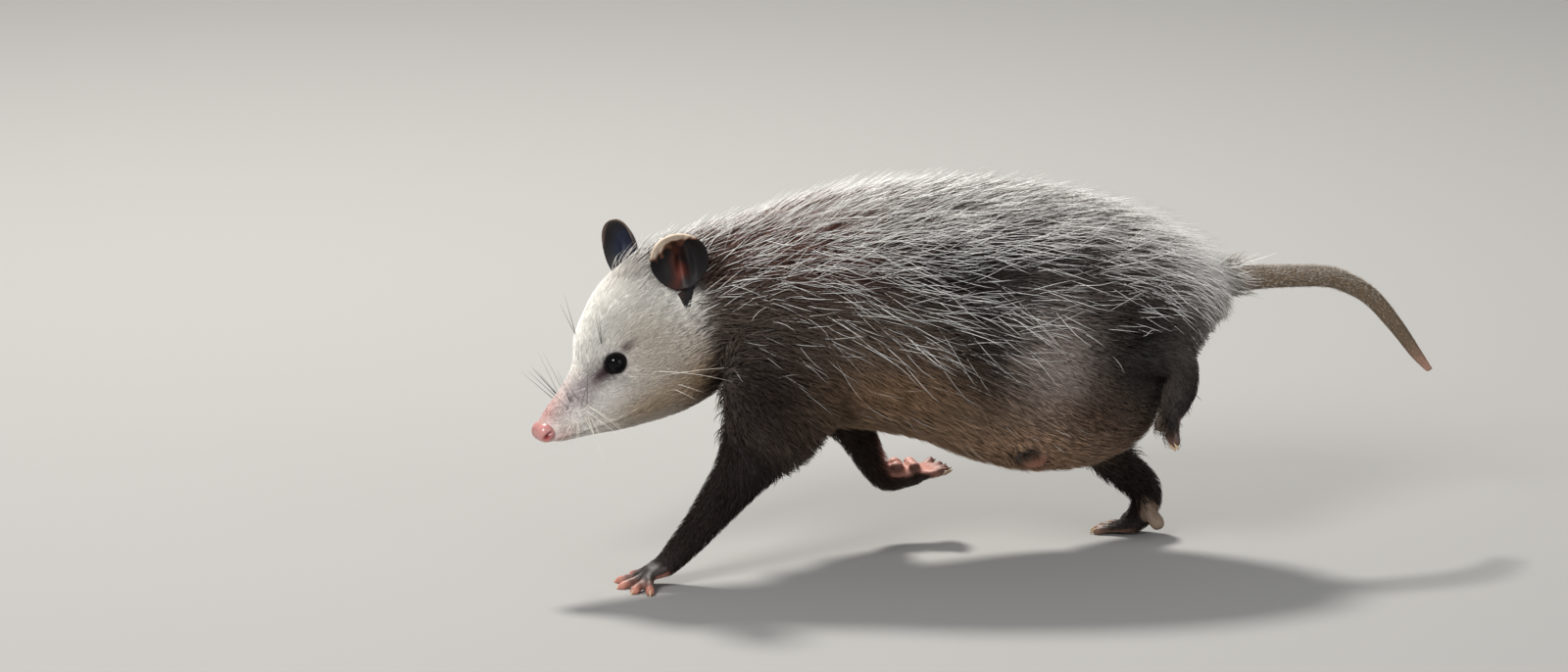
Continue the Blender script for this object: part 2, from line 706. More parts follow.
def flattened(vectors, normals):
    """The part of each vector that runs along the skin."""
    return vectors - normals * (vectors * normals).sum(axis=1)[:, None]


def round_eye(head):
    """For folded points of the head: their way from the eye, how far ahead, and how far off its sight."""
    away = head - np.array(EYE_PLACE)
    sight = np.array(EYE_FACING)
    ahead = away @ sight
    off = np.linalg.norm(away - ahead[:, None] * sight, axis=1)
    return away, ahead, np.where(ahead > -3, off, 99)


def soft(points, centre, reach):
    """1 at a centre, falling smoothly to nothing beyond its reach."""
    return np.exp(-((((points - np.array(centre)) / np.array(reach)) ** 2).sum(axis=1)))


def hump(values, centre, width):
    """The same for plain numbers."""
    return np.exp(-(((values - centre) / width) ** 2))


def step(values, low, high):
    """0 at one value and 1 at the other, rising smoothly between them."""
    t = np.clip((values - low) / (high - low), 0, 1)
    return t * t * (3 - 2 * t)


def filled(hex_colour, count):
    return np.tile(linear(hex_colour), (count, 1))


def blended(colours, colour, weight):
    return colours + (linear(colour) - colours) * weight[:, None]


def marked(colours, points, marks):
    """Colours with soft markings laid over them one after the other."""
    for centre, reach, colour, strength in marks.values():
        colours = blended(colours, colour, strength * soft(points, centre, reach))
    return colours


# The parts of the body, each a line of points and radii that the hair and the unwrap follow.
AXES = {
    "head": [(HEAD @ Vector((a, 0, (t + b) / 2)), (t - b) / 2) for a, t, b, _, _ in HEAD_RINGS.values()],
    "trunk": [(Vector((x, 0, (t + b) / 2)), (t - b) / 2) for x, t, b, _ in TRUNK_RINGS.values()],
    **{leg: [(Vector(p), (f + a) / 2) for p, f, a in stations.values()] for leg, stations in LEGS.items()},
    "tail": [(Vector(p), r) for p, r, _ in TAIL.values()],
}


def along_axis(points, axis):
    """For each point: how far along the axis it lies, the axis's way there, and how far outside it is."""
    best = np.full(len(points), np.inf)
    place = np.zeros(len(points))
    way = np.zeros((len(points), 3))
    for i, ((a, ra), (b, rb)) in enumerate(zip(axis, axis[1:])):
        a, b = np.array(a), np.array(b)
        span = b - a
        t = np.clip(((points - a) @ span) / (span @ span), 0, 1)
        away = np.linalg.norm(points - (a + t[:, None] * span), axis=1) - (ra + (rb - ra) * t)
        nearer = away < best
        best[nearer] = away[nearer]
        place[nearer] = (i + t[nearer]) / (len(axis) - 1)
        way[nearer] = span / np.linalg.norm(span)
    return place, way, best


def on_axis(part, place):
    """The points on a part's line at places along it."""
    centres = np.array([centre for centre, _ in AXES[part]])
    spot = np.clip(place * (len(centres) - 1), 0, len(centres) - 1.001)
    k = spot.astype(int)
    return centres[k] + (centres[k + 1] - centres[k]) * (spot - k)[:, None]


def body_map(points):
    """For each point of the skin: the weight of each part, its place along it and the way the part runs."""
    found = {name: along_axis(points, axis) for name, axis in AXES.items()}
    away = np.stack([found[name][2] for name in AXES])
    closeness = np.exp(-(away - away.min(axis=0)) / 3)
    closeness /= closeness.sum(axis=0)
    return {name: (closeness[i], *found[name][:2]) for i, name in enumerate(AXES)}


def leg_share(parts, points):
    """How much of a leg each point belongs to, from none on the trunk to all at the wrist or hock."""
    share = np.zeros(len(points))
    for leg in LEGS:
        weight, place, _ = parts[leg]
        # The dark fur of the hanging hind leg begins right at its knee.
        start = 0.02 if leg == "left hindleg" else 0.12
        share = np.maximum(share, weight * step(place, start, start + 0.25))
    return share


def pouch_mouth(points):
    """The shares of the rim of the pouch's mouth, of the hollow inside it, and of its lower rear lip."""
    centre, facing, radius = POUCH_MOUTH
    away = points - np.array(centre)
    depth = away @ np.array(facing)
    across = np.linalg.norm(away - depth[:, None] * np.array(facing), axis=1)
    near = 1 - step(np.abs(depth), 10, 16)
    rim = hump(across, radius, 2.4) * near
    lip = step(away @ np.array((0.6, 0, -0.8)), -3, 5)
    return rim, (1 - step(across, radius - 4, radius - 1)) * near, lip


def face_share(points, parts, edge):
    """1 on the face and cheeks, 0 behind an edge that far behind the nose tip, and nearer on the crown."""
    head = head_frame(points)
    ragged = 1.8 * np.sin(points[:, 2] * 0.31) + 1.2 * np.sin(points[:, 2] * 0.83 + 1)
    reach = head[:, 0] + 0.5 * np.maximum(head[:, 2], 0) + 0.4 * np.maximum(-head[:, 2] - 6, 0) + ragged
    forelegs = parts["left foreleg"][0] + parts["right foreleg"][0]
    below = step(head[:, 2], -72, -62) * (1 - step(points[:, 0], -106, -96))
    return (1 - step(reach, edge, edge + 13)) * (1 - step(forelegs, 0.15, 0.5)) * below


def along_digits(points, leg):
    """How far along the nearest digit of a foot each point lies, and how far outside that digit it is."""
    share = np.zeros(len(points))
    best = np.full(len(points), np.inf)
    for root, way, _, _, length, half, _ in digit_frames(leg):
        place, _, away = along_axis(points, [(root, half), (root + way * length, half)])
        nearer = away < best
        share[nearer], best[nearer] = place[nearer], away[nearer]
    return share, best


def foot_skin(points, normals, parts, leg):
    """How bare each point of a foot is, how much it is the top of a toe, and how much it is the thumb."""
    weight = step(parts[leg][0], 0.3, 0.6)
    forward, _, down, _, _ = FEET[leg]
    palm = np.array(palm_of(leg)[0])
    ahead = (points - palm) @ np.array(forward.normalized())
    under = step(normals @ np.array(down.normalized()), 0.1, 0.6)
    share, away = along_digits(points, leg)
    bare = (1 - step(away, 1.5, 4)) * step(share - 0.2 * (1 - under), 0.1, 0.4)
    reach = LEG_LOOKS[leg][3]
    beside = step(np.linalg.norm(points - palm, axis=1), reach + 14, reach + 8)
    bare = np.maximum(bare, under * step(ahead, -reach - 5, -reach) * beside)
    if leg == LIFTED:
        for centre, size in palm_cushions():
            off = np.linalg.norm(points - np.array(centre), axis=1)
            bare = np.maximum(bare, 1 - step(off, size + 0.5, size + 2))
    on_top = (1 - under) * (1 - step(share, 0.45, 0.9))
    thumb_share = np.zeros(len(points))
    if leg in THUMBS:
        root, way, length = THUMBS[leg]
        way = way.normalized()
        line = [(root + way * length * 0.45, 0), (root + way * length, 0)]
        thumb_share = 1 - step(along_axis(points, line)[2], 5.2, 6.4)
    return np.maximum(bare, thumb_share) * weight, on_top, thumb_share * weight


def markings(points, normals, parts):
    """The colour of the skin and the roots of the coat at each point."""
    colours = marked(filled(GRIZZLE, len(points)), folded(points), TRUNK_MARKINGS)
    colours = marked(colours, points, LEG_MARKINGS)
    rim, inside, lip = pouch_mouth(points)
    mouth = (rim + inside).clip(0, 1)
    colours = blended(colours, POUCH_LIP, mouth * lip)
    colours = blended(colours, POUCH_HOLLOW, mouth * (1 - lip))
    head = folded(head_frame(points))
    face = marked(filled(CREAM, len(points)), head, HEAD_MARKINGS)
    face = blended(face, EYE_RIM, 1 - step(round_eye(head)[2], 5.6, 7.4))
    colours += (face - colours) * face_share(points, parts, 118)[:, None]
    share = leg_share(parts, points)
    for leg, (fur, _, _, _) in LEG_LOOKS.items():
        colours = blended(colours, fur, share * step(parts[leg][0], 0.2, 0.5))
    for leg, (_, sole, top, _) in LEG_LOOKS.items():
        bare, on_top, thumb_share = foot_skin(points, normals, parts, leg)
        colours = blended(colours, sole, bare)
        if leg == LIFTED:
            colours = blended(colours, PALM_FINGERS, bare * step(along_digits(points, leg)[0], 0.3, 1.0))
        colours = blended(colours, top, bare * on_top)
        colours = blended(colours, THUMB_TAN, thumb_share)
    weight, place, _ = parts["tail"]
    tail = blended(filled(TAIL_TAN, len(points)), TAIL_PINK, step(place, 0.8, 1.0))
    return colours + (tail - colours) * (weight * step(points[:, 0], 184, 196))[:, None]


def furred(points, normals, parts):
    """Where hair grows: all but the toes, soles, muzzle tip, eyes, pouch mouth, ears' feet and tail."""
    cover = np.ones(len(points))
    for leg in LEGS:
        cover *= 1 - foot_skin(points, normals, parts, leg)[0]
    head = folded(head_frame(points))
    cover *= step(head[:, 0], 8.5, 13)
    cover *= step(round_eye(head)[2], 5.7, 6.7)
    rim, inside, _ = pouch_mouth(points)
    cover *= 1 - np.maximum(rim, inside)
    for _, foot, middle, *_ in EARS.values():
        stem = [(foot, 4), (foot + (middle - foot) * 0.4, 3)]
        cover *= step(along_axis(head, stem)[2], 0, 1.2)
    return cover * (1 - step(points[:, 0], 190, 204))


def coat_lie(points, normals, parts):
    """Which way the hair lies on each point of the skin."""
    flank = 1 - np.abs(normals[:, 2])
    head = head_frame(points)
    back, side, crown = np.array(HEAD_TURN).T
    fan = np.clip(head[:, 1] / 30, -1, 1)[:, None]
    rise = np.clip((head[:, 2] - 2) / 40, -1, 1)[:, None]
    weight = parts["head"][0]
    lie = weight[:, None] * (back + 0.25 * fan * side + 0.15 * rise * crown)
    away, _, off = round_eye(folded(head))
    away[:, 1] *= np.sign(head[:, 1])
    parting = 2.5 * hump(off, 0, 8)
    lie += (weight * parting)[:, None] * (unit(away) @ np.array(HEAD_TURN).T)
    rump = np.clip((points[:, 0] - 135) / 45, 0, 1)
    fall = 0.16 + 0.5 * (1 - step(points[:, 2], 90, 175)) + 1.1 * rump
    trunk = np.stack([np.ones(len(points)), np.zeros(len(points)), -fall * flank], axis=1)
    lie += parts["trunk"][0][:, None] * trunk
    for leg in LEGS:
        weight, place, way = parts[leg]
        backward = 0.25 + 1.25 * (1 - step(place, 0.1, 0.6))
        lie += weight[:, None] * (way + backward[:, None] * np.array((1, 0, 0)))
    weight, _, way = parts["tail"]
    lie += weight[:, None] * way
    return unit(flattened(lie, normals))


def carve_face(points, normals):
    """Moves the skin for its folds: lips, mouth, whisker pads, brows, eye corners and the pouch's mouth."""
    head = folded(head_frame(points))
    along = head[:, 0]
    line = -13.2 - 12.5 * np.sin(np.clip((along - 10) / 50, 0, 1) * math.pi / 2)
    along_mouth = step(along, 5, 9) * (1 - step(along, 60, 66))
    out = np.zeros(len(points))
    for height, place, width in MOUTH_FOLDS.values():
        out += height * hump(head[:, 2] - line, place, width) * along_mouth
    for height, centre, reach in FACE_FOLDS.values():
        out += height * soft(head, centre, reach)
    rim, inside, lip = pouch_mouth(points)
    out += (1.0 + 3.0 * lip) * rim - (4.5 - 3.5 * lip) * inside
    return wrapped_eyes(points + normals * out[:, None])


def wrapped_eyes(points):
    """Draws the skin over the edge of each eyeball as its lids, and away from its front."""
    head = head_frame(points)
    side = np.sign(head[:, 1])
    away, ahead, _ = round_eye(folded(head))
    distance = np.linalg.norm(away, axis=1)
    angle = np.degrees(np.arccos(np.clip(ahead / np.maximum(distance, 1e-6), -1, 1)))
    lid = step(angle, EYE_OPENING - 3, EYE_OPENING + 3)
    over = EYE_RADIUS + 0.5 - 1.8 * (1 - lid)
    wanted = np.where(lid > 0.5, np.maximum(distance, over), np.minimum(distance, over))
    near = (1 - step(distance, 8, 10)) * (1 - step(angle, 95, 110))
    drawn = np.array(EYE_PLACE) + away * (1 + (wanted / np.maximum(distance, 1e-6) - 1) * near)[:, None]
    drawn[:, 1] *= np.where(side == 0, 1, side)
    return moved(drawn, HEAD)


def smoothed_lie(lie, normals, edges, rounds):
    """Evens the lie out over the skin, so that the coat turns gently from one part to the next."""
    ends, others = edges.T
    for _ in range(rounds):
        sums = [
            np.bincount(ends, lie[others, i], len(lie)) + np.bincount(others, lie[ends, i], len(lie))
            for i in range(3)
        ]
        lie = unit(flattened(np.stack(sums, axis=1), normals))
    return lie


def unwrapped(points, parts):
    """A place on the flat map of the skin: each part is rolled out along and around its own line."""
    owner = np.stack([parts[name][0] for name in BAKE_BANDS]).argmax(axis=0)
    flat = np.zeros((len(points), 2))
    for i, (name, (low_u, high_u, low_v, high_v)) in enumerate(BAKE_BANDS.items()):
        mine = owner == i
        place, way = (values[mine] for values in parts[name][1:])
        away = points[mine] - on_axis(name, place)
        side = unit(np.cross(way, (0, 0, 1)))
        top = np.cross(side, way)
        turn = np.arctan2((away * side).sum(axis=1), (away * top).sum(axis=1)) / (2 * math.pi) + 0.5
        flat[mine, 0] = low_u + (high_u - low_u) * place
        flat[mine, 1] = low_v + (high_v - low_v) * turn
    return flat


def refine(mesh, chosen):
    """Splits the faces between the chosen vertices once more."""
    bm = bmesh.new()
    bm.from_mesh(mesh)
    bm.verts.ensure_lookup_table()
    edges = [e for e in bm.edges if chosen[e.verts[0].index] and chosen[e.verts[1].index]]
    bmesh.ops.subdivide_edges(bm, edges=edges, cuts=1, use_grid_fill=True, smooth=0.4)
    bm.to_mesh(mesh)
    bm.free()


def make_skin():
    skin = melted(joined(skin_parts(), "skin"), SKIN_VOXEL, 5)
    along = head_frame(own_frame(vertex_array(skin.data)))[:, 0]
    refine(skin.data, (along > 3) & (along < 70))
    points = own_frame(vertex_array(skin.data))
    points = carve_face(points, vertex_array(skin.data, "normal"))
    points[:, 2] = np.maximum(points[:, 2], STAND)
    place_vertices(skin.data, points)
    skin.data.update()
    thin_out(skin, points)
    skin.data.shade_smooth()
    return skin


def thin_out(skin, points):
    """Halves the skin's faces, most of all where thick fur hides them and none on face, feet and tail."""
    parts = body_map(points)
    hidden = parts["trunk"][0] + parts["head"][0] * step(head_frame(points)[:, 0], 72, 84)
    hidden += sum(parts[leg][0] * (1 - step(parts[leg][1], 0.4, 0.6)) for leg in LEGS)
    hidden *= 1 - soft(points, POUCH_MOUTH[0], (20, 20, 20))
    group = skin.vertex_groups.new(name="hidden by fur")
    for i, weight in enumerate(hidden.clip(0, 1).tolist()):
        if weight > 0.05:
            group.add([i], weight, "REPLACE")
    thin = skin.modifiers.new("thin out", "DECIMATE")
    thin.ratio = 0.5
    thin.vertex_group = group.name
    apply_modifiers(skin)


class Hide:
    """What the coat needs to know of the skin it grows from."""

    def __init__(self, skin):
        mesh = skin.data
        mesh.calc_loop_triangles()
        self.points = own_frame(vertex_array(mesh))
        self.normals = vertex_array(mesh, "normal")
        self.triangles = read_numbers(mesh.loop_triangles, "vertices", 3)
        self.parts = body_map(self.points)
        lie = coat_lie(self.points, self.normals, self.parts)
        self.lie = smoothed_lie(lie, self.normals, read_numbers(mesh.edges, "vertices", 2), 24)
        self.tint = markings(self.points, self.normals, self.parts)
        self.cover = furred(self.points, self.normals, self.parts)
        self.flat = unwrapped(self.points, self.parts)
        a, b, c = (self.points[self.triangles[:, i]] for i in range(3))
        self.areas = np.linalg.norm(np.cross(b - a, c - a), axis=1) / 2
        self.face_normals = self.normals[self.triangles].mean(axis=1)
        self.face_lie = self.lie[self.triangles].mean(axis=1)
        self.tree = BVHTree.FromPolygons(self.points.tolist(), self.triangles.tolist())

    def scatter(self, density, count):
        """Roots on the skin, as thick as the density on its vertices says: the faces and the exact places."""
        chance = self.areas * density[self.triangles].mean(axis=1)
        faces = DRAW.choice(len(self.triangles), size=count, p=chance / chance.sum())
        mix = DRAW.dirichlet((1, 1, 1), size=count)
        roots = (self.points[self.triangles[faces]] * mix[:, :, None]).sum(axis=1)
        return faces, roots

    def nearest(self, points):
        """The nearest places on the skin, and the faces that they are on."""
        found = [self.tree.find_nearest(p) for p in points.tolist()]
        return np.array([f[0] for f in found]), np.array([f[2] for f in found])


def grown_strands(hide, faces, roots, length, lift, stiffness, sway, stations):
    """The lines of hairs: each leaves the skin, follows its lie and stands above it by its lift at the tip.

    Stiffness is how much of a straight line the hair keeps, and sway how far it strays sideways.
    """
    count = len(roots)
    normals, lie = hide.face_normals[faces], hide.face_lie[faces]
    stray, bend = DRAW.normal(0, sway, (2, count, 1))
    rise = DRAW.uniform(0.05, 0.42, (count, 1))
    lie = unit(lie + np.cross(normals, lie) * stray)
    straight_way = unit(lie + normals * rise)
    places = roots
    line = [roots - normals * 0.6]
    for k in range(1, stations):
        share = k / (stations - 1)
        places, under = hide.nearest(places + lie * (length / (stations - 1))[:, None])
        outward, there = hide.face_normals[under], hide.face_lie[under]
        there = unit(there + np.cross(outward, there) * (stray + bend * (2 * share - 1)))
        lie = unit(0.4 * flattened(lie, outward) + 0.6 * there)
        height = lift * (1 - (1 - share) ** 1.7)
        bent = places + outward * height[:, None]
        straight = roots + straight_way * (length * share)[:, None] + normals * (height * 0.5)[:, None]
        line.append(bent + (straight - bent) * (stiffness * share)[:, None])
    lines = np.stack(line, axis=1)
    lines[:, :, 2] = np.maximum(lines[:, :, 2], STAND)
    return lines


def clumped(lines, roots, hairs_in_tuft, pull):
    """Draws the tips of neighbouring hairs together into tufts."""
    leaders = DRAW.choice(len(roots), len(roots) // hairs_in_tuft, replace=False)
    tree = KDTree(len(leaders))
    for i, leader in enumerate(leaders):
        tree.insert(roots[leader], i)
    tree.balance()
    found = [tree.find(root)[1:] for root in roots]
    leading = leaders[[index for index, _ in found]]
    near = hump(np.array([distance for _, distance in found]), 0, 5)
    share = np.linspace(0, 1, lines.shape[1]) ** 1.4
    weight = pull * near[:, None] * share[None, :] * DRAW.uniform(0.3, 1, (len(roots), 1))
    return lines + (lines[leading] - lines) * weight[:, :, None]


def hair_mesh(lines, width, outward, colours, tips, flat, name):
    """Joined tapered hairs of three sides, one for each line, with their colours and their bake map."""
    count, stations, _ = lines.shape
    ways = unit(np.gradient(lines, axis=1))
    side = unit(np.cross(outward[:, None, :], ways))
    up = np.cross(ways, side)
    share = np.linspace(0, 1, stations)
    half = width[:, None] / 2 * ((1 - share**1.6) * 0.9 + 0.1)[None, :]
    rings = []
    for corner in range(3):
        angle = 2 * math.pi * (corner + 0.75) / 3
        offset = side * math.cos(angle) + up * math.sin(angle) * HAIR_FLATNESS
        rings.append(lines + offset * half[:, :, None])
    rings = np.stack(rings, axis=2)[:, :-1].reshape(count, -1, 3)
    verts = np.concatenate([rings, lines[:, -1:, :]], axis=1)
    verts[:, :, 2] = np.maximum(verts[:, :, 2], 0.05)
    per_hair = verts.shape[1]
    faces = [(0, 2, 1)]
    for k in range(stations - 2):
        for corner in range(3):
            a, b = 3 * k + corner, 3 * k + (corner + 1) % 3
            faces += [(a, b, b + 3), (a, b + 3, a + 3)]
    last = 3 * (stations - 2)
    faces += [(last + corner, last + (corner + 1) % 3, per_hair - 1) for corner in range(3)]
    triangles = (np.array(faces)[None] + (np.arange(count) * per_hair)[:, None, None]).reshape(-1, 3)
    mesh = bpy.data.meshes.new(name)
    mesh.vertices.add(count * per_hair)
    place_vertices(mesh, verts)
    mesh.loops.add(triangles.size)
    mesh.loops.foreach_set("vertex_index", triangles.ravel().astype(np.int32))
    mesh.polygons.add(len(triangles))
    mesh.polygons.foreach_set("loop_start", np.arange(0, triangles.size, 3, dtype=np.int32))
    mesh.update(calc_edges=True)
    mesh.shade_smooth()
    along = np.append(np.repeat(share[:-1], 3), 1)
    attribute = mesh.attributes.new("along", "FLOAT", "POINT")
    attribute.data.foreach_set("value", np.tile(along, count).astype(np.float32))
    paint_attribute(mesh, "root_tint", np.repeat(colours, per_hair, axis=0))
    paint_attribute(mesh, "tip_tint", np.repeat(tips, per_hair, axis=0))
    # Each hair has its own small patch of the map, at the place of its root.
    patch_across = np.append(np.tile([0.0, 0.0005, 0.001], stations - 1), 0.0005)
    patch = np.stack([patch_across, along * 0.003], axis=1)
    uv = (flat[:, None, :] + patch[None]).reshape(-1, 2)
    layer = mesh.uv_layers.new(name="OFBake")
    layer.data.foreach_set("uv", uv[triangles.ravel()].ravel().astype(np.float32))
    return linked(name, mesh)


def hair_material(name, roughness, gloss, root_shade, tip_start, tip_end):
    """Hair in two colours from root to tip, both carried by the strands."""
    made, tree, shader = new_material(name, roughness, ior=1.55, specular_ior_level=gloss)
    carried = ("along", "root_tint", "tip_tint")
    along, root, tip = (add_node(tree, "Attribute", {"attribute_name": what}).outputs for what in carried)
    smooth = {"interpolation_type": "SMOOTHSTEP", "From Min": tip_start, "From Max": tip_end}
    ramp = add_node(tree, "MapRange", {**smooth, "Value": along["Fac"]})
    depth = add_node(tree, "MapRange", {"From Max": 0.5, "To Min": root_shade, "Value": along["Fac"]})
    scale = {"operation": "SCALE", 0: root["Color"], "Scale": depth.outputs["Result"]}
    shaded = add_node(tree, "VectorMath", scale)
    mix = {"data_type": "RGBA", 0: ramp.outputs["Result"], 6: shaded.outputs["Vector"], 7: tip["Color"]}
    tree.links.new(add_node(tree, "Mix", mix).outputs[2], shader.inputs["Base Color"])
    return made


def shade_and_raise(tree, shader, shade, relief):
    """Gives a shader the surface's own tint, made lighter and darker by its shade, and a relief."""
    tint = add_node(tree, "Attribute", {"attribute_name": "tint"}).outputs["Color"]
    colour = add_node(tree, "VectorMath", {"operation": "SCALE", 0: tint, "Scale": shade.outputs["Result"]})
    tree.links.new(colour.outputs["Vector"], shader.inputs["Base Color"])
    tree.links.new(add_node(tree, "Bump", relief).outputs["Normal"], shader.inputs["Normal"])


def skin_material(name, roughness, bump_scale, bump_height, **settings):
    """Skin whose colour is carried by its vertices, mottled and with a fine relief of a stated size in mm."""
    made, tree, shader = new_material(name, roughness, **settings)
    place = add_node(tree, "TexCoord", {}).outputs["Object"]
    mottle = add_node(tree, "TexNoise", {"Scale": 1000 / 6, "Detail": 4.0, "Vector": place})
    spread = {"From Min": 0.3, "From Max": 0.7, "To Min": 0.82, "To Max": 1.12}
    shade = add_node(tree, "MapRange", {**spread, "Value": mottle.outputs["Fac"]})
    grain = add_node(tree, "TexNoise", {"Scale": 1000 / bump_scale, "Detail": 3.0, "Vector": place})
    relief = {"Strength": 0.6, "Distance": bump_height * MM, "Height": grain.outputs["Fac"]}
    shade_and_raise(tree, shader, shade, relief)
    return made


def tail_material():
    """Bare tail skin: rows of small scales with grooves between them, dry and slightly shiny."""
    made, tree, shader = new_material("tail skin, finely scaled", 0.55, ior=1.45, specular_ior_level=0.4)
    scales = add_node(tree, "Attribute", {"attribute_name": "scale_place"}).outputs["Vector"]
    pattern = {"feature": "DISTANCE_TO_EDGE", "voronoi_dimensions": "3D", "Scale": 1.0, "Randomness": 0.55}
    cells = add_node(tree, "TexVoronoi", {**pattern, "Vector": scales}).outputs["Distance"]
    edge = {"From Min": 0.02, "From Max": 0.22, "Value": cells}
    groove = add_node(tree, "MapRange", edge).outputs["Result"]
    shade = add_node(tree, "MapRange", {"To Min": 0.55, "To Max": 1.1, "Value": groove})
    shade_and_raise(tree, shader, shade, {"Strength": 0.9, "Distance": 0.35 * MM, "Height": groove})
    return made


def horn_material(name, hex_colour):
    """Claws and whiskers: hard smooth horn of one colour, with a thin highlight along each."""
    return new_material(name, 0.4, hex_colour, ior=1.55)[0]


def dress(obj, made, slot, *nodes):
    """Gives a piece its material, its slot and the solids that it stands for."""
    if made is not None:
        obj.data.materials.clear()
        obj.data.materials.append(made)
    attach(obj, "root")
    if nodes:
        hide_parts(*nodes)
    return obj


def finish_skin(skin, hide):
    """Paints the skin and gives each part of it the material of what grows there."""
    face = face_share(hide.points, hide.parts, 108)
    paint_attribute(skin.data, "tint", hide.tint * (1 - 0.35 * hide.cover * (1 - face))[:, None])
    weight, place, way = hide.parts["tail"]
    away = unit(hide.points - on_axis("tail", place))
    run = place * TAIL_LENGTH / TAIL_SCALE
    pattern = np.stack([run, away[:, 1] * 3.4, np.cross(away, way)[:, 1] * 3.4], axis=1)
    attribute = skin.data.attributes.new("scale_place", "FLOAT_VECTOR", "POINT")
    attribute.data.foreach_set("vector", pattern.ravel().astype(np.float32))
    # The hide is dull and darker than the hair over it, so gaps in the coat look deep.
    under = skin_material("hide under the fur", 0.9, 1.2, 0.5)
    # Bare skin has a soft sheen and fine creases, and lets a little red light through.
    bare = skin_material("bare pink skin of toes and muzzle", 0.5, 0.6, 0.25, subsurface_weight=0.15)
    bare.node_tree.nodes["Principled BSDF"].inputs["Subsurface Radius"].default_value = (0.004, 0.0015, 0.001)
    for made in (under, bare, tail_material()):
        skin.data.materials.append(made)
    corners = read_numbers(skin.data.polygons, "loop_start")[:, 0]
    first = read_numbers(skin.data.loops, "vertex_index")[corners, 0]
    index = np.where(hide.cover[first] < 0.5, 1, 0)
    index = np.where((weight[first] > 0.5) & (hide.points[first, 0] > 190), 2, index)
    skin.data.polygons.foreach_set("material_index", index.astype(np.int32))
    nodes = [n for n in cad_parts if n.split("_")[0] not in ("ear", "eye", "nose")]
    return dress(skin, None, "coat", *nodes)


def own_tips(tint):
    """Tips of the hair's own colour, some darker and some much lighter."""
    light = DRAW.normal(1.15, 0.4, (len(tint), 1)).clip(0.5, 2.6)
    return (tint * light).clip(0, 0.95)


def even_tips(tint):
    return (tint * 1.15).clip(0, 0.95)


def white_tips(tint):
    return linear(GUARD_WHITE) * DRAW.uniform(0.82, 1.0, (len(tint), 1))


def bristle_tips(tint):
    return linear(TAIL_BRISTLE) * DRAW.uniform(0.7, 1.0, (len(tint), 1))


def grow_layer(
    hide, name, slot, made, count, density, length, lift, width, stiffness, sway, stations, tuft, spread, tips
):
    """Grows one layer of the coat, in pieces that each stay light enough.

    Density, length, lift, width and stiffness are one number or one for each vertex of the skin. A tuft is
    how many hairs share a tip and how strongly, and spread is how much the hairs' colours differ.
    """
    ones = np.ones(len(hide.points))
    faces, roots = hide.scatter(density * ones, count)
    order = DRAW.permutation(count)
    corner = hide.triangles[faces][:, 0]
    length, lift, width, stiffness = ((values * ones)[corner] for values in (length, lift, width, stiffness))
    length = length * DRAW.uniform(0.7, 1.25, count)
    lift = lift * DRAW.uniform(0.35, 1.15, count)
    lines = grown_strands(hide, faces, roots, length, lift, stiffness, sway, stations)
    if tuft:
        lines = clumped(lines, roots, *tuft)
    width = width * DRAW.uniform(0.7, 1.3, count)
    tone = DRAW.normal(1, spread, (count, 1)).clip(0.5, 1.6)
    under = lines[np.arange(count), DRAW.integers(1, stations, count)]
    shown = hide.nearest(under)[1]
    roots_tint = hide.tint[hide.triangles[shown][:, 0]] * tone
    tips_tint = tips(roots_tint)
    outward, flat = hide.face_normals[faces], hide.flat[corner]
    share = int(math.ceil(count / HAIRS_IN_PIECE))
    for k in range(share):
        own = order[k::share]
        numbers = (values[own] for values in (lines, width, outward, roots_tint, tips_tint, flat))
        dress(hair_mesh(*numbers, f"{name}_{k + 1}"), made, slot)


